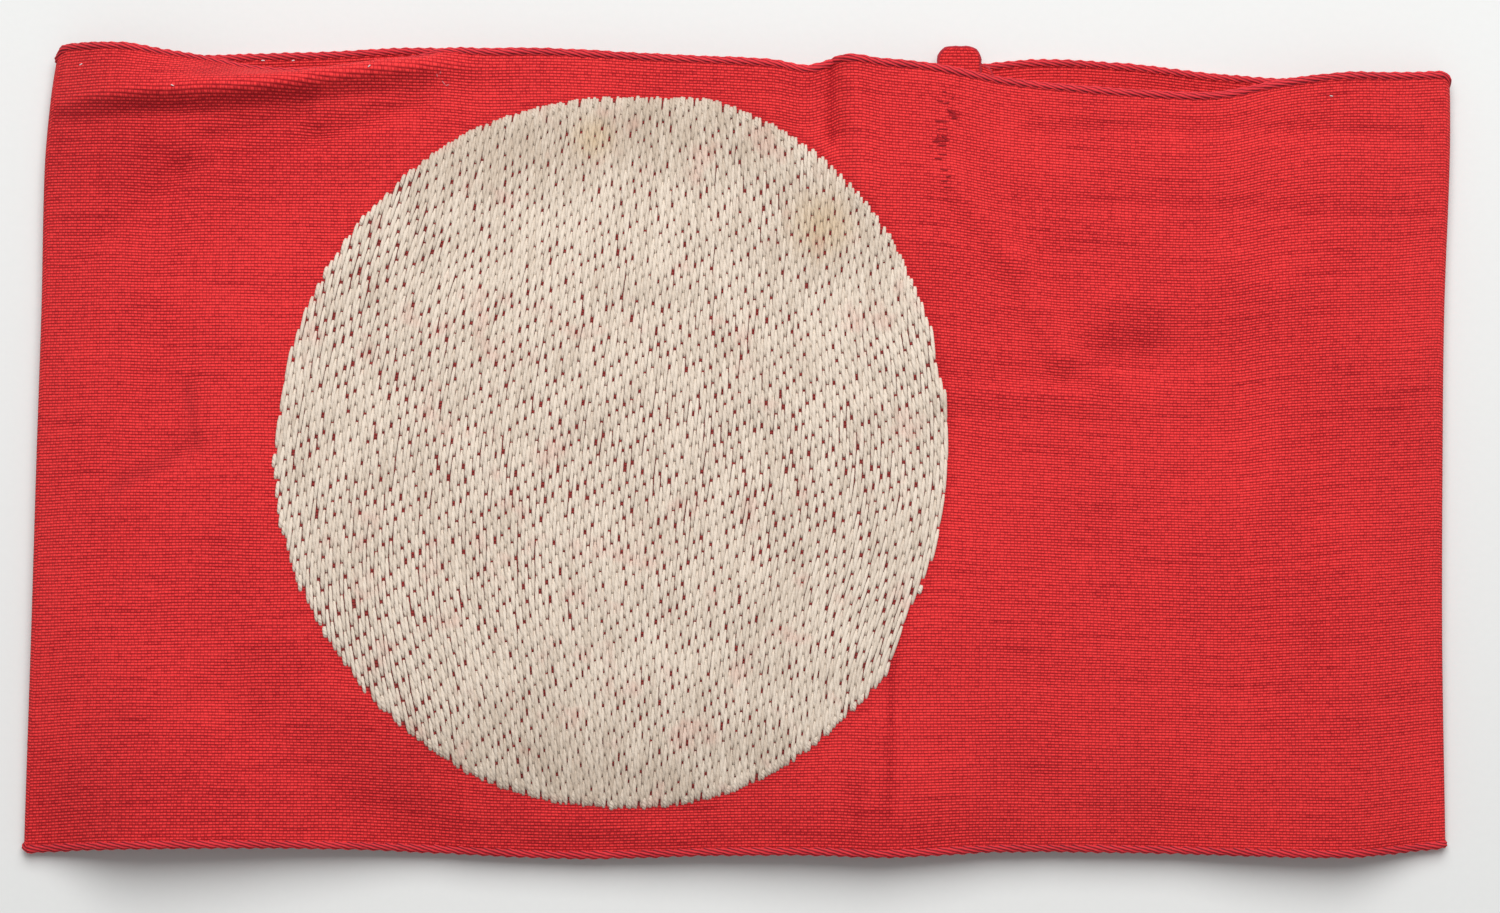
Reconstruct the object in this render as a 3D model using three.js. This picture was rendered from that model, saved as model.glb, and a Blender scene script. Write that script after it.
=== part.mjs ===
// A cloth armband that lies flat, front up. It is one strip of plain-woven cotton sewn into a loop and pressed
// flat at two end folds, with overcast edges, a round embroidered field on its front and the seam's allowance
// inside its back. Millimetres, +Z up, +X along the strip, +Y towards its upper edge; it rests on z = 0.
import * as THREE from 'three';
import { ParametricGeometry } from 'three/addons/geometries/ParametricGeometry.js';

// Driving dimensions
const CLOTH = 1.0; // thickness of the cloth wall
const GAP = 0.3; // clearance between pieces that touch
const CORD_RADIUS = 0.7; // overcast edge, as a round cord of thread
const CORD_SIDES = 6;
const HEM = GAP + 2 * CORD_RADIUS; // what the overcast edge adds beyond the cloth's own edge
const HALF_LENGTH = 100; // front and back run from station -100 to 100, where the end folds take over
const STRAIGHT = 70; // nearer the middle than this, a station is a true x; beyond, columns lean with the folds
const HALF_HEIGHT = 57;
const BACK_HEIGHT = CLOTH / 2; // mid-height of the back layer, which lies on the table
const FRONT_HEIGHT = 6.6; // mid-height of the front layer, away from its folds and edges
const FOLD_RADIUS = 0.9; // of the two end folds, at mid thickness
const FOLD_SLOPE = THREE.MathUtils.degToRad(24); // how steeply the front leaves an end fold
const FOLD_REACH = 16; // from an end fold to where the front has its full height
const FOLD_LIFT = 0.3; // the end folds stand this far off the table
const CORNER_LIFT = { left: 1.7, right: 0.8 }; // more lift of each fold at its lower corner
const LIFT_REACH = 40; // how far a lifted corner reaches along the back
const DROOP_START = -20; // the front starts to fall towards its lower edge at this y
const RIDGE_REACH = 7; // width of the flank below the ridge along the upper edge
const BEND_LENGTH = 1.6; // cloth taken up by the bend at the crest of that ridge
const BULGE = { x: 62, y: 28, height: 0.7, length: 26, width: 22 }; // where the front stands away at the right

// The two end folds, seen from above: outermost x of the loop at each y.
const END_FOLDS = [
  { x: -57, left: -100.5, right: 98.6 },
  { x: -28, left: -100.1, right: 98.4 },
  { x: 0, left: -99.6, right: 98.8 },
  { x: 20, left: -99.2, right: 99.3 },
  { x: 40, left: -99.0, right: 100.3 },
  { x: 49.5, left: -98.3, right: 100.5 },
  { x: 57, left: -97.4, right: 100.3 },
];

// The front's upper edge. A ridge runs along it at y = crest and stands `rise` proud; the cloth beyond it is
// `margin` long, its overcast edge included, and turns down by `turn` degrees.
const UPPER_EDGE = [
  { x: -100, crest: 48.4, margin: 7.9, turn: 4, rise: 0.9 },
  { x: -90, crest: 49.0, margin: 7.9, turn: 12, rise: 1.8 },
  { x: -83, crest: 49.5, margin: 7.3, turn: 32, rise: 1.9 },
  { x: -75.5, crest: 50.1, margin: 6.9, turn: 52, rise: 1.9 },
  { x: -68.5, crest: 50.5, margin: 6.4, turn: 70, rise: 1.9 },
  { x: -62, crest: 51.1, margin: 5.7, turn: 80, rise: 1.9 },
  { x: -57, crest: 51.9, margin: 4.9, turn: 88, rise: 1.8 },
  { x: -51.5, crest: 52.9, margin: 4.2, turn: 88, rise: 1.6 },
  { x: -45, crest: 53.9, margin: 3.5, turn: 70, rise: 1.2 },
  { x: -41, crest: 54.0, margin: 3.1, turn: 42, rise: 0.8 },
  { x: -36.5, crest: 53.4, margin: 3.0, turn: 8, rise: 0.3 },
  { x: -28, crest: 53.4, margin: 3.0, turn: 0, rise: 0 },
  { x: -12, crest: 52.6, margin: 3.0, turn: 0, rise: 0 },
  { x: 4, crest: 51.8, margin: 3.0, turn: 0, rise: 0 },
  { x: 9.5, crest: 51.0, margin: 3.0, turn: 0, rise: 0 },
  { x: 13.9, crest: 52.4, margin: 3.0, turn: 0, rise: 0 },
  { x: 20, crest: 51.9, margin: 3.0, turn: 0, rise: 0 },
  { x: 27.5, crest: 51.1, margin: 3.0, turn: 0, rise: 0 },
  { x: 36.5, crest: 49.3, margin: 3.0, turn: 0, rise: 0 },
  { x: 47, crest: 48.1, margin: 3.0, turn: 0, rise: 0 },
  { x: 62, crest: 47.1, margin: 3.0, turn: 0, rise: 0 },
  { x: 68, crest: 47.3, margin: 3.0, turn: 0, rise: 0 },
  { x: 75, crest: 48.7, margin: 3.0, turn: 0, rise: 0 },
  { x: 84, crest: 49.9, margin: 3.0, turn: 0, rise: 0 },
  { x: 93, crest: 50.2, margin: 3.0, turn: 0, rise: 0 },
  { x: 100, crest: 49.4, margin: 3.0, turn: 0, rise: 0 },
];

// The front's lower edge: its outline's y, and the mid-height of the cloth there.
const LOWER_EDGE = [
  { x: -100, y: -56.2, height: 5.8 },
  { x: -88, y: -56.3, height: 7.0 },
  { x: -76, y: -56.3, height: 6.8 },
  { x: -60, y: -56.3, height: 4.6 },
  { x: -44, y: -56.7, height: 3.3 },
  { x: -24, y: -57.5, height: 2.8 },
  { x: -6, y: -57.1, height: 3.7 },
  { x: 10, y: -57.0, height: 4.9 },
  { x: 20, y: -57.3, height: 4.6 },
  { x: 36, y: -56.6, height: 3.3 },
  { x: 56, y: -56.7, height: 2.9 },
  { x: 74, y: -57.2, height: 4.7 },
  { x: 86, y: -57.3, height: 5.6 },
  { x: 100, y: -56.2, height: 5.4 },
];

// The back's two edges, as outlines.
const BACK_EDGES = [
  { x: -100, top: 56.0, bottom: -56.0 },
  { x: -79, top: 56.4, bottom: -54.9 },
  { x: -60, top: 56.9, bottom: -54.8 },
  { x: -46, top: 57.5, bottom: -54.8 },
  { x: -30, top: 56.6, bottom: -55.1 },
  { x: 0, top: 55.2, bottom: -55.0 },
  { x: 28, top: 54.7, bottom: -55.0 },
  { x: 42, top: 55.8, bottom: -54.8 },
  { x: 55, top: 55.2, bottom: -54.8 },
  { x: 66, top: 53.9, bottom: -54.9 },
  { x: 78, top: 53.0, bottom: -55.0 },
  { x: 100, top: 52.2, bottom: -55.9 },
];

// Soft creases in the front, each a straight line with a depth; a negative depth is a ridge.
const CREASES = [
  { from: [12.4, 56], to: [13.2, 36], width: 2.6, depth: 0.6 },
  { from: [16.6, 56], to: [18.4, 30], width: 3.0, depth: -0.5 },
  { from: [18.4, 30], to: [20.6, -32], width: 3.4, depth: -0.3 },
  { from: [20.6, -32], to: [19.4, -58], width: 3.0, depth: 0.5 },
  { from: [26, 42], to: [43, 13], width: 3.0, depth: -0.4 },
  { from: [49.5, 16.5], to: [57.5, 16], width: 3.4, depth: 0.6 },
  { from: [28, 11], to: [68, 7.5], width: 3.0, depth: 0.35 },
  { from: [-46, 47], to: [-60, 43], width: 2.6, depth: 0.45 },
  { from: [-62, 47], to: [-79, 39], width: 2.6, depth: 0.45 },
  { from: [-79, 37], to: [-96, 25], width: 3.0, depth: 0.3 },
];

// The embroidered field: a near-round plate of thread on the front; a higher blunt makes its rim more abrupt.
const DISC = { x: -18.6, y: -0.2, halfWidth: 46.9, halfHeight: 49.7, thickness: 1.0, blunt: 60, lean: 0.04 };
const DISC_COLUMNS = 34;
const DISC_ROWS = 16;

// The seam allowance: both ends of the strip, overcast together and pressed to one side inside the back.
const SEAM = { x: 30.6, width: 5.4, top: 57.6, bottom: -54.6, thickness: 1.2, cornerRadius: 1.7, endRise: 0.5 };
const SEAM_STEPS = 12;

// Rows of the cloth: shares of the way from the lower edge to the crest, then shares of the margin beyond it.
const ROWS_TO_CREST = [0, 0.03, 0.1, 0.2, 0.32, 0.44, 0.56, 0.68, 0.78, 0.87, 0.94, 0.966, 0.982, 1];
const ROWS_BEYOND = [0.25, 0.5, 1];
const COLUMN_SPACING = 4.2; // widest step along the front
const BACK_COLUMNS = 18;
const FOLD_STEPS = 4;

const { clamp, lerp } = THREE.MathUtils;

// Smooth curve through one column of a table whose rows are ordered by x.
function sample(table, column, x) {
  const last = table.length - 1;
  let i = 1;
  while (i < last && table[i].x < x) i++;
  const slope = (k) => {
    const [p, q] = [table[Math.max(k - 1, 0)], table[Math.min(k + 1, last)]];
    return (q[column] - p[column]) / (q.x - p.x);
  };
  const [a, b] = [table[i - 1], table[i]];
  const span = b.x - a.x;
  const t = clamp((x - a.x) / span, 0, 1);
  const [t2, t3] = [t * t, t * t * t];
  return (
    (2 * t3 - 3 * t2 + 1) * a[column] +
    (t3 - 2 * t2 + t) * span * slope(i - 1) +
    (3 * t2 - 2 * t3) * b[column] +
    (t3 - t2) * span * slope(i)
  );
}

// Height that the creases take off the front at a point.
function creaseDepth(x, y) {
  let depth = 0;
  for (const crease of CREASES) {
    const [dx, dy] = [crease.to[0] - crease.from[0], crease.to[1] - crease.from[1]];
    const t = clamp(((x - crease.from[0]) * dx + (y - crease.from[1]) * dy) / (dx * dx + dy * dy), 0, 1);
    const away = Math.hypot(x - crease.from[0] - t * dx, y - crease.from[1] - t * dy) / crease.width;
    depth += crease.depth * Math.exp(-away * away);
  }
  return depth;
}

// Mid-height of the front at a point, before its end folds are shaped: level, falling towards the lower edge,
// with a ridge that steepens as it nears the crest and is flat on top, a bulge and the creases.
function openHeight(x, y) {
  const droop = clamp((y - DROOP_START) / (sample(LOWER_EDGE, 'y', x) - DROOP_START), 0, 1);
  const fall = (FRONT_HEIGHT - sample(LOWER_EDGE, 'height', x)) * droop ** 2;
  const up = clamp(1 + (y - sample(UPPER_EDGE, 'crest', x)) / RIDGE_REACH, 0, 1);
  const ridge = sample(UPPER_EDGE, 'rise', x) * up ** 5 * (6 - 5 * up);
  const away = ((x - BULGE.x) / BULGE.length) ** 2 + ((y - BULGE.y) / BULGE.width) ** 2;
  return FRONT_HEIGHT - fall + ridge + BULGE.height * Math.exp(-away) - creaseDepth(x, y);
}

// Centre of an end fold's bend at a given y; side is 'left' or 'right'.
function foldCentre(side, y) {
  const inward = side === 'left' ? 1 : -1;
  const low = clamp(-y / HALF_HEIGHT, 0, 1);
  return {
    x: sample(END_FOLDS, side, y) + inward * (CLOTH / 2 + FOLD_RADIUS),
    z: BACK_HEIGHT + FOLD_RADIUS + FOLD_LIFT + CORNER_LIFT[side] * low ** 3,
  };
}

// True x of a station where the two end folds stand at leftX and rightX.
function leanColumn(station, leftX, rightX) {
  const lean = clamp((Math.abs(station) - STRAIGHT) / (HALF_LENGTH - STRAIGHT), 0, 1);
  return station + lean * (station < 0 ? leftX + HALF_LENGTH : rightX - HALF_LENGTH);
}

// A point of the front's mid-surface; it lies `drop` below the open front's height at heightY.
function frontPoint(station, y, heightY = y, drop = 0) {
  const [left, right] = [foldCentre('left', y), foldCentre('right', y)];
  const tuck = FOLD_RADIUS * Math.sin(FOLD_SLOPE);
  const x = leanColumn(station, left.x - tuck, right.x + tuck);
  const near = station < 0 ? left : right;
  const away = Math.min(x - left.x, right.x - x) + tuck;
  const start = near.z + FOLD_RADIUS * Math.cos(FOLD_SLOPE);
  const rise = 1 - (1 - clamp(away / FOLD_REACH, 0, 1)) ** 2;
  return new THREE.Vector3(x, y, lerp(start, openHeight(x, heightY) - drop, rise));
}

// A point of the front at one row. Rows up to 1 run from the lower edge to the crest, the rest over the margin.
function frontAt(station, row) {
  const crest = sample(UPPER_EDGE, 'crest', station);
  if (row <= 1) return frontPoint(station, lerp(sample(LOWER_EDGE, 'y', station) + HEM, crest, row));
  const turn = THREE.MathUtils.degToRad(Math.max(sample(UPPER_EDGE, 'turn', station), 0.01));
  const along = (row - 1) * (sample(UPPER_EDGE, 'margin', station) - HEM);
  const bend = Math.min(along / BEND_LENGTH, 1) * turn;
  const straight = Math.max(along - BEND_LENGTH, 0);
  const forward = (BEND_LENGTH / turn) * Math.sin(bend) + straight * Math.cos(turn);
  const down = (BEND_LENGTH / turn) * (1 - Math.cos(bend)) + straight * Math.sin(turn);
  return frontPoint(station, crest + forward, crest, down);
}

// Share of the strip's width at a row, so that the back's rows meet the front's at the end folds.
function widthShare(station, row) {
  const width = sample(UPPER_EDGE, 'crest', station) - sample(LOWER_EDGE, 'y', station) - HEM;
  const margin = sample(UPPER_EDGE, 'margin', station) - HEM;
  return (row <= 1 ? row * width : width + (row - 1) * margin) / (width + margin);
}

// A point of the back's mid-surface at one row.
function backAt(station, row) {
  const bottom = sample(BACK_EDGES, 'bottom', station) + HEM;
  const y = lerp(bottom, sample(BACK_EDGES, 'top', station) - HEM, widthShare(station, row));
  const [left, right] = [foldCentre('left', y), foldCentre('right', y)];
  const x = leanColumn(station, left.x, right.x);
  const lift = (fold) => {
    const near = clamp(1 - Math.abs(x - fold.x) / LIFT_REACH, 0, 1);
    return (fold.z - FOLD_RADIUS - BACK_HEIGHT) * near ** 2;
  };
  return new THREE.Vector3(x, y, BACK_HEIGHT + lift(left) + lift(right));
}

// A point of an end fold; share runs from its front end to its back end.
function foldAt(side, row, share) {
  const outward = side === 'left' ? -1 : 1;
  const [front, back] = [frontAt(outward * HALF_LENGTH, row), backAt(outward * HALF_LENGTH, row)];
  const y = lerp(front.y, back.y, share);
  const centre = foldCentre(side, y);
  const angle = lerp(Math.PI / 2 - FOLD_SLOPE, -Math.PI / 2, share);
  return new THREE.Vector3(
    centre.x + outward * FOLD_RADIUS * Math.cos(angle),
    y,
    centre.z + FOLD_RADIUS * Math.sin(angle),
  );
}

// The columns of the loop, each a function from a row to a point: front, right fold, back, left fold.
function loopColumns() {
  const columns = [];
  const stations = UPPER_EDGE.map((row) => row.x);
  stations.slice(0, -1).forEach((start, i) => {
    const span = stations[i + 1] - start;
    const steps = Math.ceil(span / COLUMN_SPACING);
    for (let k = 0; k < steps; k++) columns.push((row) => frontAt(start + (span * k) / steps, row));
  });
  for (let k = 0; k < FOLD_STEPS; k++) columns.push((row) => foldAt('right', row, k / FOLD_STEPS));
  for (let k = 0; k < BACK_COLUMNS; k++) {
    columns.push((row) => backAt(HALF_LENGTH * (1 - (2 * k) / BACK_COLUMNS), row));
  }
  for (let k = 0; k < FOLD_STEPS; k++) columns.push((row) => foldAt('left', row, 1 - k / FOLD_STEPS));
  return columns;
}

const COLUMNS = loopColumns();
const ROWS = [...ROWS_TO_CREST, ...ROWS_BEYOND.map((share) => 1 + share)];
const GRID = COLUMNS.map((column) => ROWS.map(column));
const wrapped = (i) => GRID[(i + GRID.length) % GRID.length];

// Outward normal of the loop at a grid point.
function normalAt(i, j) {
  const around = wrapped(i + 1)[j].clone().sub(wrapped(i - 1)[j]);
  const [low, high] = [Math.max(j - 1, 0), Math.min(j + 1, ROWS.length - 1)];
  return around.cross(wrapped(i)[high].clone().sub(wrapped(i)[low])).normalize();
}

// The strip of cloth: its outer face up from the lower edge, then its inner face back down.
function clothBand() {
  const rows = ROWS.length;
  return new ParametricGeometry(
    (u, v, target) => {
      const i = Math.round(u * GRID.length);
      const step = Math.round(v * 2 * rows) % (2 * rows);
      const outer = step < rows;
      const j = outer ? step : 2 * rows - 1 - step;
      target.copy(wrapped(i)[j]).addScaledVector(normalAt(i, j), outer ? CLOTH / 2 : -CLOTH / 2);
    },
    GRID.length,
    2 * rows,
  );
}

// Centre of an overcast edge at one column: beyond the cloth's edge, and no lower than it can lie.
function cordCentre(i, edge) {
  const [at, inside] = edge === 'top' ? [ROWS.length - 1, ROWS.length - 2] : [0, 1];
  const point = wrapped(i)[at].clone();
  const outward = point.clone().sub(wrapped(i)[inside]).normalize();
  point.addScaledVector(outward, GAP + CORD_RADIUS);
  point.z = Math.max(point.z, CORD_RADIUS);
  return point;
}

// An overcast edge: a closed cord of thread round the loop, with a flat side down where it rests.
function overcastEdge(edge) {
  const reach = CORD_RADIUS / Math.cos(Math.PI / CORD_SIDES);
  return new ParametricGeometry(
    (u, v, target) => {
      const i = Math.round(u * GRID.length);
      const centre = cordCentre(i, edge);
      const along = cordCentre(i + 1, edge).sub(cordCentre(i - 1, edge)).normalize();
      const across = new THREE.Vector3(0, 1, 0).addScaledVector(along, -along.y).normalize();
      const downward = across.clone().cross(along);
      const angle = (2 * Math.PI * (Math.round(v * CORD_SIDES) % CORD_SIDES)) / CORD_SIDES;
      target.copy(centre).addScaledVector(across, reach * Math.cos(angle));
      target.addScaledVector(downward, reach * Math.sin(angle));
    },
    GRID.length,
    CORD_SIDES,
  );
}

// The embroidered disc: chords from left to right, each a flat loop over its upper face and back under it. Its
// thickness falls to nothing at the rim, and it follows the front that it lies on.
function embroideredDisc() {
  const { halfWidth, halfHeight, thickness, blunt } = DISC;
  return new ParametricGeometry(
    (u, v, target) => {
      const across = -Math.cos(Math.PI * u);
      const up = -Math.cos(2 * Math.PI * v) * Math.sqrt(Math.max(1 - across ** 2, 0));
      const radius = Math.min(Math.hypot(across, up), 1);
      const swell = (thickness / 2) * Math.sqrt(1 - radius ** blunt);
      const x = DISC.x + halfWidth * across + DISC.lean * halfHeight * up * Math.abs(up);
      const y = DISC.y + halfHeight * up;
      const middle = openHeight(x, y) + CLOTH / 2 + GAP + thickness / 2;
      target.set(x, y, middle + (v < 0.5 ? swell : -swell));
    },
    DISC_COLUMNS,
    2 * DISC_ROWS,
  );
}

// The seam allowance: a long tab with rounded upper corners, lying on the back and stepping over its edges.
function seamAllowance() {
  const { x, width, top, bottom, thickness, cornerRadius, endRise } = SEAM;
  const [left, right] = [x - width / 2, x + width / 2];
  const shape = new THREE.Shape();
  const rise = top - cornerRadius - bottom;
  shape.moveTo(left, bottom).lineTo(right, bottom);
  for (let k = 1; k <= SEAM_STEPS; k++) shape.lineTo(right, bottom + (rise * k) / SEAM_STEPS);
  shape.absarc(right - cornerRadius, top - cornerRadius, cornerRadius, 0, Math.PI / 2, false);
  shape.absarc(left + cornerRadius, top - cornerRadius, cornerRadius, Math.PI / 2, Math.PI, false);
  for (let k = SEAM_STEPS - 1; k > 0; k--) shape.lineTo(left, bottom + (rise * k) / SEAM_STEPS);
  const tab = new THREE.ExtrudeGeometry(shape, { depth: thickness, bevelEnabled: false, curveSegments: 4 });
  const place = tab.getAttribute('position');
  for (let i = 0; i < place.count; i++) {
    const fromEnd = Math.min(top - place.getY(i), place.getY(i) - bottom);
    const lift = endRise * clamp(1 - (fromEnd - rise / SEAM_STEPS) / (rise / SEAM_STEPS), 0, 1);
    place.setZ(i, place.getZ(i) + CLOTH + GAP + lift);
  }
  return tab;
}

const redCloth = new THREE.MeshStandardMaterial({ color: 0xc42a2d, roughness: 0.9, metalness: 0 });
const redThread = new THREE.MeshStandardMaterial({ color: 0xa8232a, roughness: 0.85, metalness: 0 });
const creamThread = new THREE.MeshStandardMaterial({ color: 0xcdbba9, roughness: 0.8, metalness: 0 });

const armband = new THREE.Group();
armband.name = 'armband';

function addPiece(name, geometry, material) {
  const piece = new THREE.Mesh(geometry, material);
  piece.name = name;
  armband.add(piece);
}

addPiece('cloth_band', clothBand(), redCloth);
addPiece('overcast_edge_top', overcastEdge('top'), redThread);
addPiece('overcast_edge_bottom', overcastEdge('bottom'), redThread);
addPiece('embroidered_disc', embroideredDisc(), creamThread);
addPiece('seam_allowance', seamAllowance(), redCloth);

export default armband;
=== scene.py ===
"""A cloth armband with a plain embroidered disc, lying flat on a pale table.

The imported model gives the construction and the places. This script makes the woven cloth, the satin
stitches, the overcast edges, the seam's flap, the mends and lint, the table, the light and the camera. The
functions that shape the cloth work in millimetres, as the construction does; every mesh is written in metres.
"""

import math

import bmesh
import bpy
import numpy as np
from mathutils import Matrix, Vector, noise


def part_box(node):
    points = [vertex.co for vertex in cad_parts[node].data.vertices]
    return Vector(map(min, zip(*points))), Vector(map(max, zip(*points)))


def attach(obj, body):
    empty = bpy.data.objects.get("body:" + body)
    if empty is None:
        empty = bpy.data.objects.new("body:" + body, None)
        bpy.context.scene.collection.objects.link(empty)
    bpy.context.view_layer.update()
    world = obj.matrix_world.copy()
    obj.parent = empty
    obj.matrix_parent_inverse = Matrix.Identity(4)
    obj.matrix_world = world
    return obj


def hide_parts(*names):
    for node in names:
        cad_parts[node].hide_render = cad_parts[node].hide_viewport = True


bl_info = {
    "name": "Armband",
    "version": (1, 0, 0),
    "blender": (4, 5, 0),
    "location": "3D View > Sidebar > Armband",
    "description": "Makes a cloth armband with an embroidered disc around its packed model",
    "category": "Object",
}

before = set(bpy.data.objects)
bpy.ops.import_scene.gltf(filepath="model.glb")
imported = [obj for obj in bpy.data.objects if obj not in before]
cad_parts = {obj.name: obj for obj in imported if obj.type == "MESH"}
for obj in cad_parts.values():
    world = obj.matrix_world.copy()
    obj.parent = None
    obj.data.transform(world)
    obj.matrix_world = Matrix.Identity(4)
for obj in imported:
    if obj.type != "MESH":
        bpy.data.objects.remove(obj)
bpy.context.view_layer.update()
MM = 0.001

# The strip in millimetres: its wall, and how far inside its long edges the cloth and the thread's middle end
CLOTH_WALL = 1.0
CLOTH_HEM = 0.9
CORD_HEM = 0.7
STRIP_WIDTH = 112

# The loop: half its front's length, where its ends start to lean, one end fold's length, and the whole
HALF_LENGTH = 100
HALF_HEIGHT = 57
STRAIGHT = 70
FOLD_LENGTH = 4
LOOP_LENGTH = 4 * HALF_LENGTH + 2 * FOLD_LENGTH

# Mid-heights of the back and the front, and of the back's hems above the rest of it
BACK_HEIGHT = CLOTH_WALL / 2
FRONT_HEIGHT = 6.6
HEM_LIFT = 0.3
HEM_REACH = 3

# The end folds: their bend, the cloth's slope above it, how far in the front rises, and how far they stand up
FOLD_RADIUS = 0.9
FOLD_SLOPE = math.radians(24)
FOLD_REACH = 17
FOLD_LIFT = 0.3
LIFT_REACH = 40

# The band's corners: bend and lift of the folds at the lower ones, and how round the upper ones are cut
CORNER_RADIUS = 0.36
CORNER_LIFT = 0.05
CORNER_ROUNDS = {"left": 2.4, "right": 1.3}

# The front's relief: where it starts to droop, the ridge's near and far foot, and its bend over the crest
DROOP_START = -20
RIDGE_REACH = 3.2
RIDGE_FOOT = 14
BEND_LENGTH = 1.6
CREASE_STRENGTH = 1.6
BULGE = {"x": 62, "y": 28, "height": 0.7, "length": 26, "width": 22}
RIM_DIP = {"depth": 0.12, "outside": 1.0, "width": 1.7}


def table(columns, *rows):
    """Columns of numbers by name, from one row of names and rows of numbers."""
    return dict(zip(columns.split(), np.array(rows, float).T))


# The end folds seen from above: outermost x of the loop at each y
END_FOLDS = table(
    "x left right",
    (-57, -100.8, 98.6),
    (-28, -100.1, 98.4),
    (0, -99.6, 98.8),
    (20, -99.2, 99.3),
    (40, -99.0, 100.3),
    (49.5, -98.3, 100.5),
    (57, -97.4, 100.3),
)

# The front's upper edge: the ridge's line, the cloth beyond it, how far that turns down in degrees, and the
# ridge's height
UPPER_EDGE = table(
    "x crest margin turn rise",
    (-100, 49.1, 8.6, 4, 0.9),
    (-90, 49.6, 7.6, 12, 1.8),
    (-83, 49.9, 6.9, 32, 1.9),
    (-75.5, 50.1, 6.9, 52, 1.9),
    (-68.5, 50.5, 6.4, 70, 1.9),
    (-62, 51.1, 5.7, 80, 1.9),
    (-57, 51.9, 4.9, 88, 1.8),
    (-51.5, 52.7, 4.2, 88, 1.6),
    (-45.5, 53.3, 3.5, 84, 1.2),
    (-41.5, 53.6, 3.0, 44, 0.7),
    (-37, 53.4, 2.9, 8, 0.3),
    (-28, 53.4, 3.0, 0, 0),
    (-12, 52.6, 3.0, 0, 0),
    (4, 51.8, 3.0, 0, 0),
    (9.5, 51.0, 3.0, 0, 0),
    (13.9, 52.4, 3.0, 0, 0),
    (20, 51.9, 3.0, 0, 0),
    (27.5, 51.1, 3.0, 0, 0),
    (36.5, 49.3, 3.0, 0, 0),
    (47, 48.1, 3.0, 0, 0),
    (62, 47.1, 3.0, 0, 0),
    (68, 47.3, 3.0, 0, 0),
    (75, 48.7, 3.0, 0, 0),
    (84, 49.9, 3.0, 0, 0),
    (93, 50.2, 3.0, 0, 0),
    (100, 50.6, 3.2, 0, 0),
)

# The front's lower edge: its outline, and the mid-height of the cloth there
LOWER_EDGE = table(
    "x y height",
    (-100, -56.8, 5.8),
    (-88, -56.2, 7.0),
    (-76, -56.0, 6.8),
    (-60, -56.1, 4.6),
    (-44, -56.7, 3.3),
    (-24, -57.5, 2.8),
    (-6, -57.1, 3.7),
    (10, -57.0, 4.9),
    (20, -57.3, 4.6),
    (36, -56.6, 3.3),
    (56, -56.7, 2.9),
    (74, -57.2, 4.7),
    (86, -57.3, 5.6),
    (100, -56.2, 5.4),
)

BACK_EDGES = table(
    "x top bottom",
    (-100, 56.0, -56.0),
    (-79, 56.4, -54.9),
    (-60, 56.9, -54.8),
    (-46, 57.5, -54.8),
    (-30, 56.6, -55.1),
    (0, 55.2, -55.0),
    (28, 54.7, -55.0),
    (42, 55.8, -54.8),
    (55, 55.2, -54.8),
    (66, 53.9, -54.9),
    (78, 53.0, -55.0),
    (100, 52.2, -55.9),
)

# Creases in the front, each a straight line; a negative depth is a ridge
CREASES = table(
    "from_x from_y to_x to_y width depth",
    (12.6, 57, 13.0, 44, 1.3, 0.75),
    (13.0, 44, 14.6, 32, 1.8, 0.3),
    (15.4, 57, 17.4, 36, 1.8, -0.5),
    (20.9, -30, 20.4, -53, 0.9, 0.3),
    (19.2, -38, 18.6, -57, 1.6, -0.22),
    (29, 38, 38, 26, 1.6, -0.35),
    (38, 26, 44.5, 12.5, 1.8, -0.5),
    (44.5, 12.5, 51.5, 9.5, 1.8, -0.35),
    (51, 20.4, 57.5, 20.8, 3.6, -0.3),
    (50, 12.2, 59, 13.0, 5.0, 0.34),
    (79.2, 34, 79.5, -56, 1.4, 0.1),
    (28, 10.4, 46, 8.8, 1.3, 0.12),
    (28, 7.4, 48, 6.6, 1.5, -0.35),
    (48, 6.6, 66, 8.4, 2.0, -0.25),
    (-46, 48, -60, 43.5, 1.7, 0.5),
    (-60, 43.5, -79, 39.2, 1.8, 0.3),
    (-62, 46.5, -75, 43.5, 1.5, 0.35),
    (-79, 38, -96, 25, 2.0, 0.3),
    (-77.6, 8, -76.6, 0, 1.3, 0.28),
    (-76.6, 0, -87.5, -5.6, 1.6, 0.28),
    (-70, -36, -44, -54, 6, 0.6),
    (-90, 2, -96, -8, 1.4, 0.25),
    (-58, -30, -74, -44, 2.6, 0.3),
    (-66, -26, -84, -36, 2.2, -0.2),
    (42, 45.4, 96, 45.0, 1.9, 0.16),
    (60, 41.5, 94, 40, 1.8, -0.15),
    (38, 36.4, 96, 33.6, 2.0, 0.17),
    (72, 22, 95, 24, 1.6, -0.18),
    (-30, -52, -8, -54, 1.6, -0.25),
)

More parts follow.
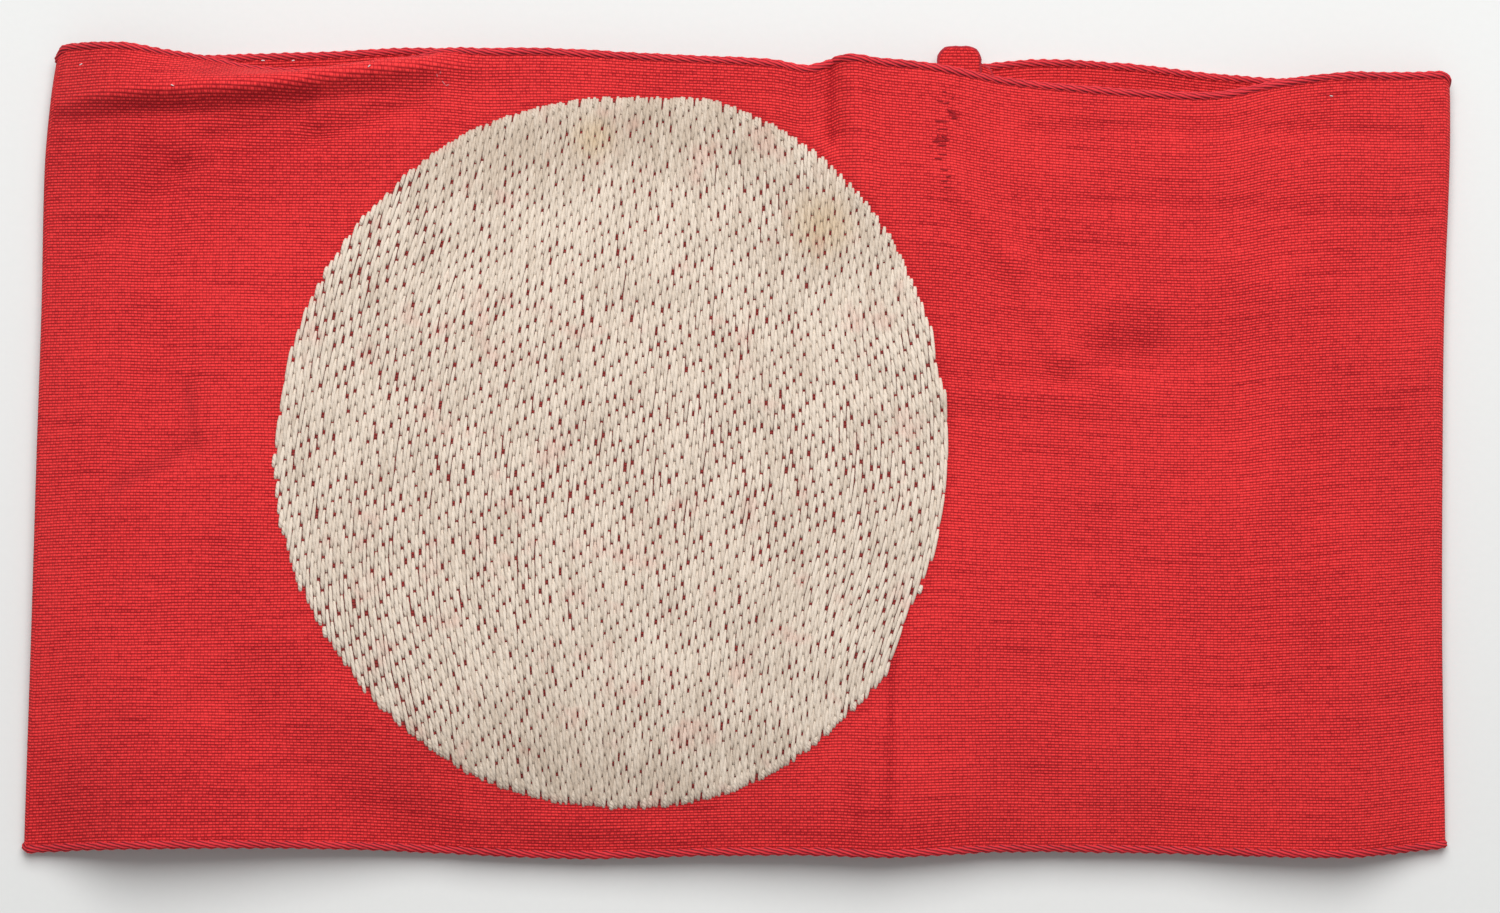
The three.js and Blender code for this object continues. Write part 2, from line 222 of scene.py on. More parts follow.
# Painted shade along the creases, under the crest and towards the lower edge, with some soiling: lines on the
# cloth, how far the darkening spreads and how dark it is
CREASE_SHADE_AND_SOIL = (
    ((-97, -50), (-48, -50), 17, 0.11),
    ((-95, 40), (-60, 42), 13, 0.16),
    ((-96, 54), (-74, 53), 6, 0.08),
    ((-97, 47.4), (-78, 47.9), 2.4, 0.34),
    ((-78, 47.9), (-60, 49.9), 2.4, 0.34),
    ((-60, 49.9), (-44, 52), 2.4, 0.14),
    ((-62, 44.5), (-78, 40), 3, 0.1),
    ((-61.8, 48.8), (-60.5, 49.1), 0.9, 0.36),
    ((12.3, 57), (12.7, 43), 1.2, 0.28),
    ((20.9, -30), (20.3, -52), 1.0, 0.22),
    ((20.3, -47), (19.6, -52), 2.6, 0.14),
    ((15.8, -48), (15.4, -57), 3.4, 0.18),
    ((-40, 53), (10, 52), 5, 0.08),
    ((51.5, 15.2), (57, 15.6), 4.6, 0.2),
    ((40, 45.2), (96, 44.8), 1.6, 0.12),
    ((38, 35.4), (96, 33.2), 2.0, 0.12),
)

DISC = {"x": -18.6, "y": -0.2, "half_width": 46.9, "half_height": 49.7, "lean": 0.04}

# How far the disc's rim lies outside its oval, at each direction in degrees
RIM = table(
    "x extra",
    (0, 0.4),
    (20, 0.5),
    (45, 1.1),
    (66, 1.3),
    (77, 1.1),
    (85, 0.1),
    (100, 0.05),
    (115, 0.45),
    (135, 0),
    (155, -0.25),
    (170, -0.6),
    (185, 0),
    (200, -0.1),
    (215, -0.8),
    (240, -0.75),
    (255, -0.1),
    (270, 0.5),
    (285, 1.9),
    (297, 2.7),
    (306, 2.5),
    (313, 2.5),
    (318, 2.75),
    (321.5, 2.8),
    (325, 1.8),
    (330, 0.8),
    (338, 0.5),
    (345, 0.4),
    (360, 0.4),
)

# How far the stitches lean from upright, in degrees, at some places of the disc
LEANS = table(
    "x y lean",
    (-61, 16, 8),
    (-61, -10, 7),
    (-55, -28, -7),
    (-47, -36, -13),
    (-36, -42, -3),
    (-8, -46, 4),
    (10, -35, 5),
    (19, -26, 22),
    (24, -13, 14),
    (25, 0, 0),
    (24, 12, -9),
    (17, 28, 7),
    (3, 42, 1),
    (-20, 46, 7),
    (-37, 38, 12),
    (-48, 30, 20),
    (-57, 22, 14),
)


# Short threads on the front: the darning stitches, pale lint and a pink tuft, with leans in degrees
MENDS = table(
    "x y length lean",
    (28.4, 50.0, 0.7, -8),
    (29.6, 49.2, 0.4, 0),
    (27.8, 48.7, 1.0, -14),
    (28.6, 48.4, 1.1, 8),
    (29.3, 47.2, 1.6, -36),
    (29.6, 46.5, 1.1, 60),
    (29.9, 46.3, 1.0, 8),
    (28.0, 45.8, 2.1, -3),
    (28.1, 44.7, 1.6, -2),
    (27.4, 43.4, 1.5, 84),
    (28.3, 43.5, 1.1, -40),
    (27.8, 43.0, 2.5, 3),
    (28.0, 42.4, 1.4, 0),
    (28.1, 41.1, 1.4, -6),
    (27.5, 40.5, 1.2, -8),
    (28.3, 38.9, 1.2, -8),
    (28.9, 37.9, 0.7, 10),
    (28.3, 37.3, 1.2, 0),
    (28.7, 36.4, 1.0, -6),
)
LINT = table(
    "x y length lean",
    (-92.5, 53.3, 0.5, 30),
    (-79.6, 50.3, 0.5, -20),
    (-67.0, 53.8, 0.5, 0),
    (-62.8, 53.8, 0.4, 10),
    (-52.2, 53.1, 0.5, 45),
    (82.8, 49.4, 0.5, -10),
)
FLUFF = table(
    "x y length lean",
    (-43.2, 53.1, 0.9, 5),
    (-42.4, 52.6, 0.7, 60),
    (-42.9, 52.2, 0.6, 100),
    (-42.0, 51.2, 0.8, -50),
    (-41.5, 50.9, 0.6, 20),
)


def length_setting(label, description, default):
    """A setting that is a length in metres."""
    return bpy.props.FloatProperty(
        name=label, description=description, default=default, unit="LENGTH", precision=6
    )


def colour_setting(label, description, default):
    """A setting that is a colour."""
    return bpy.props.FloatVectorProperty(
        name=label, description=description, default=default, subtype="COLOR"
    )


def number_setting(label, description, default):
    """A setting that is a plain number."""
    return bpy.props.FloatProperty(name=label, description=description, default=default)


def count_setting(label, description, default, least=1):
    """A setting that is a whole number."""
    return bpy.props.IntProperty(name=label, description=description, default=default, min=least)


class ClothSettings(bpy.types.PropertyGroup):
    """Sizes and colours of the red cloth."""

    thickness: length_setting("Thickness", "Of the cloth", 0.0005)
    columns: count_setting("Columns", "Faces round the loop", 396, 60)
    rows: count_setting("Rows", "Faces across the strip", 120, 20)
    upright_pitch: length_setting("Upright pitch", "Between upright threads", 0.00048)
    level_pitch: length_setting("Level pitch", "Between lengthwise threads", 0.000415)
    bright: colour_setting("Bright", "Tops of the threads", (0.87, 0.041, 0.042))
    # The deep colour also serves as painted shade round the disc's rim
    deep: colour_setting("Deep", "Between the threads", (0.32, 0.004, 0.009))


class EdgeSettings(bpy.types.PropertyGroup):
    """Sizes and colours of the overcast edges."""

    radius: length_setting("Radius", "Of the overcast edge", 0.00062)
    strands: count_setting("Strands", "Threads side by side round the edge", 7)
    twist: length_setting("Twist", "Length of one turn of a thread", 0.0119)
    colour: colour_setting("Colour", "Of the red thread", (0.72, 0.034, 0.045))
    # The deep colour is painted shade between the thread's turns and where it goes through the cloth
    deep: colour_setting("Deep", "Between the threads", (0.16, 0.006, 0.012))


class StitchSettings(bpy.types.PropertyGroup):
    """Sizes and colours of the satin stitches."""

    length: length_setting("Length", "From one stitch to the next in a column", 0.0049)
    pitch: length_setting("Pitch", "Between columns", 0.00049)
    stagger: number_setting("Stagger", "Share of a stitch by which a column starts later", 0.585)
    width: length_setting("Width", "Of the thread", 0.00063)
    colour: colour_setting("Colour", "Of the cream thread", (0.74, 0.635, 0.53))
    # This colour also serves as painted shade over the disc's lower part and in the ply's grooves
    soil_and_shade_colour: colour_setting("Soil", "Of the cream thread where it is dirty", (0.50, 0.40, 0.31))


class StageSettings(bpy.types.PropertyGroup):
    """The table, light and camera."""

    floor: colour_setting("Table", "Colour of the table", (0.72, 0.725, 0.715))
    key_power: number_setting("Key light", "Power in watts", 5.8)
    fill: number_setting("Fill light", "Strength of the light all round", 0.37)
    lens: number_setting("Lens", "Focal length in millimetres", 89.0)


def sample(rows, column, x):
    """Smooth curve through one column of a table, at many x."""
    xs, ys = rows["x"], rows[column]
    order = np.arange(len(xs))
    before, after = np.maximum(order - 1, 0), np.minimum(order + 1, len(xs) - 1)
    slopes = (ys[after] - ys[before]) / (xs[after] - xs[before])
    right = np.clip(np.searchsorted(xs, x), 1, len(xs) - 1)
    left = right - 1
    span = xs[right] - xs[left]
    t = np.clip((x - xs[left]) / span, 0, 1)
    from_values = (2 * t**3 - 3 * t**2 + 1) * ys[left] + (3 * t**2 - 2 * t**3) * ys[right]
    from_slopes = (t**3 - 2 * t**2 + t) * slopes[left] + (t**3 - t**2) * slopes[right]
    return from_values + from_slopes * span


def crease_depth(x, y):
    """Height that the creases take off the front."""
    depth = np.zeros_like(x)
    for x0, y0, x1, y1, width, deep in zip(*CREASES.values()):
        dx, dy = x1 - x0, y1 - y0
        t = np.clip(((x - x0) * dx + (y - y0) * dy) / (dx * dx + dy * dy), 0, 1)
        away = np.hypot(x - x0 - t * dx, y - y0 - t * dy) / width
        depth += CREASE_STRENGTH * deep * np.exp(-(away**2))
    return depth


def ripple(x, y, size, layer):
    """Smooth random values from -1 to 1 with waves of about the given size; each layer is its own pattern."""
    places = np.stack([x / size, y / size, np.full_like(x, 7.3 * layer)], axis=1)
    return np.array([noise.noise(Vector(place)) for place in places])


def past_rim(x, y):
    """How far places lie outside the disc's rim; negative inside it."""
    across, up = x - DISC["x"], y - DISC["y"]
    across = across - DISC["lean"] * up * np.abs(up) / DISC["half_height"]
    extra = sample(RIM, "extra", np.mod(np.degrees(np.arctan2(up, across)), 360))
    share = np.hypot(across / (DISC["half_width"] + extra), up / (DISC["half_height"] + extra))
    return np.hypot(across, up) * (1 - 1 / np.maximum(share, 0.01))


def open_height(x, y):
    """Mid-height of the front, before its end folds are shaped."""
    droop = np.clip((y - DROOP_START) / (sample(LOWER_EDGE, "y", x) - DROOP_START), 0, 1)
    fall = (FRONT_HEIGHT - sample(LOWER_EDGE, "height", x)) * droop**2
    up = np.clip(1 + (y - sample(UPPER_EDGE, "crest", x)) / RIDGE_REACH, 0, 1)
    wide = np.clip(1 + (y - sample(UPPER_EDGE, "crest", x)) / RIDGE_FOOT, 0, 1)
    ridge = sample(UPPER_EDGE, "rise", x) * (1.15 * up**1.6 + 0.8 * wide**2)
    away = ((x - BULGE["x"]) / BULGE["length"]) ** 2 + ((y - BULGE["y"]) / BULGE["width"]) ** 2
    bulge = BULGE["height"] * np.exp(-away)
    crumple = 0.3 * ripple(x, y, 14, 1) + 0.13 * ripple(x, y, 5.5, 2) + 0.11 * ripple(x / 5, y, 3.5, 3)
    from_dip = (past_rim(x, y) - RIM_DIP["outside"]) / RIM_DIP["width"]
    drawn_in = RIM_DIP["depth"] * np.exp(-(from_dip**2))
    return FRONT_HEIGHT - fall + ridge + bulge - crease_depth(x, y) + crumple - drawn_in


def front_face(x, y):
    """Height of the front's outer face, where the stitches lie."""
    return open_height(x, y) + CLOTH_WALL / 2


def pressed_at(y):
    """How flat the end folds are pressed: 0 over the upper half, and 1 at the lower corners."""
    return np.clip(-y / HALF_HEIGHT, 0, 1) ** 3


def fold_radius(y):
    """Radius of the end folds' bends."""
    return FOLD_RADIUS + (CORNER_RADIUS - FOLD_RADIUS) * pressed_at(y)


def fold_centre(side, y):
    """Centre of an end fold's bend: its x and z."""
    inward = 1 if side == "left" else -1
    lift = FOLD_LIFT + (CORNER_LIFT - FOLD_LIFT) * pressed_at(y)
    x = sample(END_FOLDS, side, y) + inward * (CLOTH_WALL / 2 + fold_radius(y))
    return x, BACK_HEIGHT + fold_radius(y) + lift


def lean_column(station, left_x, right_x):
    """True x of a station where the end folds stand at left_x and right_x."""
    lean = np.clip((np.abs(station) - STRAIGHT) / (HALF_LENGTH - STRAIGHT), 0, 1)
    return station + lean * np.where(station < 0, left_x + HALF_LENGTH, right_x - HALF_LENGTH)


def front_at(station, row, hem):
    """Points of the front. Rows from 0 to 1 run from the lower edge to the crest, to 2 over the margin."""
    crest = sample(UPPER_EDGE, "crest", station)
    low = sample(LOWER_EDGE, "y", station) + hem
    turn = np.radians(np.maximum(sample(UPPER_EDGE, "turn", station), 0.01))
    along = np.maximum(row - 1, 0) * (sample(UPPER_EDGE, "margin", station) - hem)
    bend = np.minimum(along / BEND_LENGTH, 1) * turn
    straight = np.maximum(along - BEND_LENGTH, 0)
    forward = BEND_LENGTH / turn * np.sin(bend) + straight * np.cos(turn)
    down = BEND_LENGTH / turn * (1 - np.cos(bend)) + straight * np.sin(turn)
    y = np.where(row <= 1, low + (crest - low) * row, crest + forward)
    (left_x, left_z), (right_x, right_z) = fold_centre("left", y), fold_centre("right", y)
    tuck = fold_radius(y) * math.sin(FOLD_SLOPE)
    x = lean_column(station, left_x - tuck, right_x + tuck)
    away = np.minimum(x - left_x, right_x - x) + tuck
    start = np.where(station < 0, left_z, right_z) + fold_radius(y) * math.cos(FOLD_SLOPE)
    near = np.clip(away / FOLD_REACH, 0, 1)
    full, flat = 1 - (1 - near) ** 2, near**2 * (3 - 2 * near)
    rise = full + (flat - full) * pressed_at(y)
    z = start + (open_height(x, np.minimum(y, crest)) - down - start) * rise
    return np.stack([x, y, z], axis=1)


def width_share(station, row, hem):
    """Share of the strip's width at a row."""
    width = sample(UPPER_EDGE, "crest", station) - sample(LOWER_EDGE, "y", station) - hem
    margin = sample(UPPER_EDGE, "margin", station) - hem
    return (np.minimum(row, 1) * width + np.maximum(row - 1, 0) * margin) / (width + margin)


def back_at(station, row, hem):
    """Points of the back."""
    bottom, top = sample(BACK_EDGES, "bottom", station) + hem, sample(BACK_EDGES, "top", station) - hem
    y = bottom + (top - bottom) * width_share(station, row, hem)
    (left_x, left_z), (right_x, right_z) = fold_centre("left", y), fold_centre("right", y)
    x = lean_column(station, left_x, right_x)
    z = np.full_like(x, BACK_HEIGHT)
    for fold_x, fold_z in ((left_x, left_z), (right_x, right_z)):
        near = np.clip(1 - np.abs(x - fold_x) / LIFT_REACH, 0, 1)
        z += (fold_z - fold_radius(y) - BACK_HEIGHT) * near**2
    hem_away = np.minimum(y - bottom, top - y)
    z += HEM_LIFT * np.clip(1 - hem_away / HEM_REACH, 0, 1) ** 2
    return np.stack([x, y, z], axis=1)


def fold_at(side, row, share, hem):
    """Points of an end fold; share runs from its front end to its back end."""
    outward = -1 if side == "left" else 1
    station = np.full_like(row, outward * HALF_LENGTH)
    y = front_at(station, row, hem)[:, 1] * (1 - share) + back_at(station, row, hem)[:, 1] * share
    (x, z), radius = fold_centre(side, y), fold_radius(y)
    angle = (math.pi / 2 - FOLD_SLOPE) * (1 - share) - math.pi / 2 * share
    return np.stack([x + outward * radius * np.cos(angle), y, z + radius * np.sin(angle)], axis=1)


def loop_at(length, row, hem):
    """Points of the cloth's mid-surface at lengths round the loop, from the front's left end."""
    length = np.mod(length, LOOP_LENGTH)
    right_end, back_start = 2 * HALF_LENGTH, 2 * HALF_LENGTH + FOLD_LENGTH
    back_end = back_start + 2 * HALF_LENGTH
    points = np.zeros((len(length), 3))
    front = length < right_end
    right = (length >= right_end) & (length < back_start)
    back = (length >= back_start) & (length < back_end)
    left = length >= back_end
    points[front] = front_at(length[front] - HALF_LENGTH, row[front], hem)
    points[right] = fold_at("right", row[right], (length[right] - right_end) / FOLD_LENGTH, hem)
    points[back] = back_at(back_start + HALF_LENGTH - length[back], row[back], hem)
    points[left] = fold_at("left", row[left], 1 - (length[left] - back_end) / FOLD_LENGTH, hem)
    for side, radius in CORNER_ROUNDS.items():
        outward = -1 if side == "left" else 1
        away = (sample(END_FOLDS, side, points[:, 1]) - points[:, 0]) * outward
        missing = np.clip(radius - away, 0, radius)
        cut = radius - np.sqrt(np.maximum(radius**2 - missing**2, 0))
        points[:, 1] -= cut * np.clip(row - 1, 0, 1) ** 2
    return points


def bent_sheet(name, columns, rows, place, lengths, tube=False):
    """A grid bent into a closed loop, and into a tube as well if asked.

    place and lengths take shares from 0 to 1 along and across the grid. They give points in millimetres, and
    places on the threads' own map, mostly in metres."""
    grid = bmesh.new()
    grid.loops.layers.uv.new("thread")
    bmesh.ops.create_grid(grid, x_segments=columns, y_segments=rows, size=0.5, calc_uvs=True)
    mesh = bpy.data.meshes.new(name)
    grid.to_mesh(mesh)
    grid.free()
    flat = np.zeros(3 * len(mesh.vertices))
    mesh.vertices.foreach_get("co", flat)
    shares = np.clip(flat.reshape(-1, 3)[:, :2] + 0.5, 0, 1)
    bent = place(shares[:, 0], shares[:, 1]) * MM
    mesh.vertices.foreach_set("co", bent.ravel())
    corners = np.zeros(len(mesh.loops), int)
    mesh.loops.foreach_get("vertex_index", corners)
    mapped = lengths(shares[corners, 0], shares[corners, 1])
    mesh.uv_layers["thread"].data.foreach_set("uv", mapped.ravel())
    weld = bmesh.new()
    weld.from_mesh(mesh)
    bmesh.ops.remove_doubles(weld, verts=weld.verts, dist=2e-6)
    if tube:
        bmesh.ops.recalc_face_normals(weld, faces=weld.faces)
    weld.to_mesh(mesh)
    weld.free()
    return shown(name, mesh)


def shown(name, mesh):
    """A smooth-shaded object of a mesh, in the scene."""
    mesh.polygons.foreach_set("use_smooth", [True] * len(mesh.polygons))
    piece = bpy.data.objects.new(name, mesh)
    bpy.context.scene.collection.objects.link(piece)
    return piece


def points_of(piece):
    """A mesh's points, one to a row."""
    flat = np.zeros(3 * len(piece.data.vertices))
    piece.data.vertices.foreach_get("co", flat)
    return flat.reshape(-1, 3)


# Share of its width that a laid thread loses at its ends
THREAD_END_SLIM = 0.46


def laid_threads(name, starts, ends, width, height, sink, face, tints=None, sides=6, cuts=6):
    """Many short threads in one mesh, each laid on a face from a start to an end and dipping in at both."""
    rod = bmesh.new()
    rod.loops.layers.uv.new("thread")
    bmesh.ops.create_cone(
        rod, cap_ends=True, segments=sides, radius1=0.5, radius2=0.5, depth=1, calc_uvs=True
    )
    long_edges = [edge for edge in rod.edges if abs(edge.verts[0].co.z - edge.verts[1].co.z) > 0.5]
    bmesh.ops.subdivide_edges(rod, edges=long_edges, cuts=cuts)
    around_map(rod)
    mesh = bpy.data.meshes.new(name)
    rod.to_mesh(mesh)
    rod.free()
    count = len(mesh.vertices)
    piece = shown(name, mesh)
    copies = piece.modifiers.new("Copies", "ARRAY")
    copies.count = len(starts)
    copies.use_relative_offset = False
    copies.use_constant_offset = True
    copies.constant_offset_displace = (0, 0, 0)
    piece.data = bpy.data.meshes.new_from_object(piece.evaluated_get(bpy.context.evaluated_depsgraph_get()))
    piece.modifiers.clear()
    piece.data.name = name
    bpy.data.meshes.remove(mesh)
    rods = points_of(piece).reshape(len(starts), count, 3)
    along = 0.5 + 0.5 * np.sin(rods[:, :, 2:3] * math.pi)
    edge = np.abs(2 * along - 1)
    run = (ends - starts)[:, None, :]
    side = np.stack([-run[:, :, 1], run[:, :, 0]], axis=2) / np.linalg.norm(run, axis=2, keepdims=True)
    slim = 1 - THREAD_END_SLIM * edge**3.5
    plan = starts[:, None, :] + run * along + side * rods[:, :, 0:1] * width[:, None, None] * slim
    level = face(plan[:, :, 0].ravel(), plan[:, :, 1].ravel()).reshape(len(starts), count, 1)
    arch = height * (0.5 + rods[:, :, 1:2]) * slim + height * 0.12 - sink * edge**7
    placed = np.concatenate([plan, level + arch], axis=2) * MM
    piece.data.vertices.foreach_set("co", placed.ravel())
    tint = piece.data.attributes.new("tint", "FLOAT", "POINT")
    tint.data.foreach_set("value", np.repeat(np.zeros(len(starts)) if tints is None else tints, count))
    piece.data.update()
    return piece


def around_map(rod):
    """Maps a rod along z: its length and the share of the way round it."""
    uv = rod.loops.layers.uv["thread"]
    for face in rod.faces:
        turns = [math.atan2(loop.vert.co.y, loop.vert.co.x) / math.tau for loop in face.loops]
        highest = max(turns)
        for loop, turn in zip(face.loops, turns):
            wrapped = turn + 1 if highest - turn > 0.5 else turn
            loop[uv].uv = (loop.vert.co.z + 0.5, wrapped)


def operation(kind, swapped=False):
    """A method of Value that adds one Math node."""

    def method(self, *others):
        operands = (*others, self) if swapped else (self, *others)
        node = self.socket.id_data.nodes.new("ShaderNodeMath")
        node.operation = kind
        for socket, operand in zip(node.inputs, operands):
            plug(socket, operand)
        return Value(node.outputs[0])

    return method


class Value:
    """A number, colour or vector that varies over a surface. Arithmetic on numbers adds Math nodes."""

    def __init__(self, socket):
        self.socket = socket

    __add__, __radd__ = operation("ADD"), operation("ADD", swapped=True)
    __sub__, __rsub__ = operation("SUBTRACT"), operation("SUBTRACT", swapped=True)
    __mul__, __rmul__ = operation("MULTIPLY"), operation("MULTIPLY", swapped=True)
    __truediv__, __pow__, __gt__ = operation("DIVIDE"), operation("POWER"), operation("GREATER_THAN")
    __abs__, sine, floor = operation("ABSOLUTE"), operation("SINE"), operation("FLOOR")
    at_most, at_least = operation("MINIMUM"), operation("MAXIMUM")


def plug(socket, value):
    """Links a value to a socket, or sets the socket to a number, a colour or a vector."""
    if isinstance(value, Value):
        socket.id_data.links.new(value.socket, socket)
    elif hasattr(value, "__len__") and socket.type == "RGBA":
        socket.default_value = (*value[:3], 1)
    else:
        socket.default_value = value


class Finish:
    """A material while its nodes are being made."""

    def __init__(self, name):
        self.material = bpy.data.materials.new(name)
        self.material.use_nodes = True
        self.tree = self.material.node_tree
        self.tree.nodes.clear()

    def node(self, kind, settings=None, values=None, output=0):
        """Adds a node, with its settings first and then its sockets' values, and gives one of its outputs."""
        node = self.tree.nodes.new("ShaderNode" + kind)
        for name, setting in (settings or {}).items():
            setattr(node, name, setting)
        for name, value in (values or {}).items():
            plug(node.inputs[name], value)
        return Value(node.outputs[output]) if node.outputs else None

    def thread_map(self):
        """The piece's own map: how far along and across its threads a point is, in metres or turns."""
        uv = self.node("UVMap", {"uv_map": "thread"})
        return tuple(self.node("SeparateXYZ", values={"Vector": uv}, output=i) for i in (0, 1))

    def place(self):
        """Where on the piece a point is, in metres."""
        return self.node("TexCoord", output=3)

    def vector(self, x, y, z=0):
        return self.node("CombineXYZ", values={"X": x, "Y": y, "Z": z})

    def noise(self, vector, scale=1.0, detail=2.0, roughness=0.5):
        values = {"Vector": vector, "Scale": scale, "Detail": detail, "Roughness": roughness}
        return self.node("TexNoise", values=values)

    def step(self, value, low, high):
        """0 below low, 1 above high and smooth between."""
        values = {"Value": value, "From Min": low, "From Max": high}
        return self.node("MapRange", {"interpolation_type": "SMOOTHSTEP"}, values)

    def mix(self, factor, a, b):
        """Colour a where the factor is 0, and colour b where it is 1."""
        settings = {"data_type": "RGBA", "blend_type": "MIX", "clamp_factor": True}
        return self.node("Mix", settings, {0: factor, 6: a, 7: b}, output=2)

    def attribute(self, name):
        """A number that the piece's mesh stores at its points."""
        return self.node("Attribute", {"attribute_name": name}, output=2)

    def vector_math(self, kind, a, b, second=1, output=0):
        """One Vector Math node; second is the socket that takes b."""
        return self.node("VectorMath", {"operation": kind}, {0: a, second: b}, output)

    def blot(self, place, centre, radius):
        """1 at a place on the front, falling to 0 at a radius round it, both in millimetres."""
        flat = self.vector_math("MULTIPLY", place, (1, 1, 0))
        there = (centre[0] * MM, centre[1] * MM, 0)
        away = self.vector_math("DISTANCE", flat, there, output=1)
        return self.step(away, radius * MM, 0)

    def streak(self, place, start, end, width):
        """1 along a line on the front, falling to 0 at its width to each side, all in millimetres."""
        a, b = Vector(start) * MM, Vector(end) * MM
        run = b - a
        flat = self.vector_math("MULTIPLY", place, (1, 1, 0))
        offset = self.vector_math("SUBTRACT", flat, (a.x, a.y, 0))
        dot = self.vector_math("DOT_PRODUCT", offset, (run.x, run.y, 0), output=1)
        share = (dot / run.length_squared).at_least(0).at_most(1)
        near = self.vector_math("SCALE", (run.x, run.y, 0), share, second=3)
        away = self.vector_math("DISTANCE", offset, near, output=1)
        return self.step(away, width * MM, 0)

    def bump(self, height, distance, strength):
        return self.node("Bump", values={"Height": height, "Distance": distance, "Strength": strength})

    def shade(self, base, roughness, normal, sheen=0.0, sheen_tint=(1, 1, 1)):
        values = {
            "Base Color": base,
            "Roughness": roughness,
            "Normal": normal,
            "Specular IOR Level": 0.25,
            "Sheen Weight": sheen,
            "Sheen Roughness": 0.5,
            "Sheen Tint": sheen_tint,
        }
        shader = self.node("BsdfPrincipled", values=values)
        self.node("OutputMaterial", values={"Surface": shader})
        return self.material


def red_cloth_finish():
    """Plain-woven red cotton with uneven threads, faint mottling, a few pulled threads and soiled places, and
    painted shade along its creases, under its crest, towards its lower edge and round the disc.
    """
    cloth = bpy.context.scene.armband_cloth
    finish = Finish("woven_red_cotton")
    u, v = finish.thread_map()
    place = finish.place()
    wide = finish.vector(u, v)

    # The threads' numbers, which wander a little
    wander = finish.noise(wide, 70, 1) - 0.5
    sway = finish.noise(finish.vector(u * 2, v), 520, 1) - 0.5
    upright = u / cloth.upright_pitch + wander * 1.6 + sway * 1.3
    level = v / cloth.level_pitch + (finish.noise(finish.vector(u, v, 3), 55, 1) - 0.5) * 1.8

    # Which of two crossing threads lies over the other, and how high it stands
    sine_u = (upright * math.pi).sine()
    sine_v = (level * math.pi).sine()
    level_over = (sine_u * sine_v) > 0
    hump_u, hump_v = abs(sine_u), abs(sine_v)
    level_float = hump_v**0.9 * hump_u**0.1
    upright_float = hump_u**0.4 * hump_v**0.7 * 0.7
    weave = level_over * level_float + (1 - level_over) * upright_float

    # Thick, thin and dark places in the threads
    slub = finish.noise(finish.vector(u * 90, level.floor() * 3.7), 1, 2)
    slub_upright = finish.noise(finish.vector(upright.floor() * 4.1, v * 60), 1, 1)
    streak = finish.step(slub, 0.4, 0.24)
    speck = finish.noise(finish.vector(u * 900, v * 2400), 1, 2)
    uneven = (slub - 0.5) * 0.42 + (slub_upright - 0.5) * 0.1 - streak * 0.15 + (speck - 0.5) * 0.85
    mottle = finish.noise(wide, 42, 3, 0.6) - 0.5

    # Pulled threads beside the mend, and soiling with painted shade along the creases, under the crest and
    # towards the lower edge
    pulled = finish.streak(place, (29.3, 47.0), (30.0, 46.6), 0.9)
    pulled = pulled.at_least(finish.blot(place, (27.5, 43.2), 0.9))
    pulled = pulled.at_least(finish.blot(place, (28.4, 43.4), 0.9))
    shade_and_soiling = finish.streak(place, (-50, -54), (35, -56), 10) * 0.13
    for start, end, width, depth in CREASE_SHADE_AND_SOIL:
        shade_and_soiling = shade_and_soiling.at_least(finish.streak(place, start, end, width) * depth)
    tone = weave * 0.9 + uneven + mottle * 0.4 - pulled * finish.noise(place, 1500, 2) - shade_and_soiling
    base = finish.mix(finish.step(tone, -0.1, 0.92), cloth.deep, cloth.bright)
    soiled = finish.streak(place, (-77.6, 8), (-76.6, 0), 1.8)
    soiled = soiled.at_least(finish.streak(place, (-76.6, 0), (-87.5, -5.6), 2.2))
    soiled = soiled * finish.noise(place, 700, 2) * 0.36
    base = finish.mix(soiled, base, (0.16, 0.012, 0.018))

    # Painted shade on the cloth round the disc's rim, strongest towards its upper right, as the stitches'
    # shadow; and under the stitches, as the shade in the gaps between them
    rim = finish.attribute("past_rim")
    rim_shadow = finish.attribute("rim_shadow")
    shade = (1 - finish.step(rim, -0.3, 1.6)) * finish.step(rim, -1.0, 0.0) * rim_shadow * 0.4
    base = finish.mix(shade, base, cloth.deep)
    base = finish.mix((1 - finish.step(rim, -0.9, -0.1)) * 0.8, base, (0.16, 0.035, 0.03))
    normal = finish.bump(weave + uneven * 0.5, 0.00016, 0.85)
    return finish.shade(base, 0.9, normal, sheen=0.06, sheen_tint=(1.0, 0.35, 0.35))


def red_thread_finish():
    """Red thread laid round an edge, with painted shade between its turns and where it goes through the
    cloth.
    """
    edge = bpy.context.scene.armband_edge
    finish = Finish("red_overcast_thread")
    inner, phase = finish.thread_map()
    strand = abs((phase * math.pi).sine())
    place = finish.place()
    fibre = finish.noise(place, 2600, 2)
    worn = finish.noise(place, 160, 2)
    hole_shade = inner * (1.15 - strand) * 0.5
    tone = strand * 0.9 + (fibre - 0.5) * 0.5 + (worn - 0.5) * 0.5 - hole_shade
    base = finish.mix(finish.step(tone, 0.05, 1.0), edge.deep, edge.colour)
    normal = finish.bump(fibre, 0.00008, 0.8)
    return finish.shade(base, 0.8, normal, sheen=0.06, sheen_tint=(1.0, 0.35, 0.35))


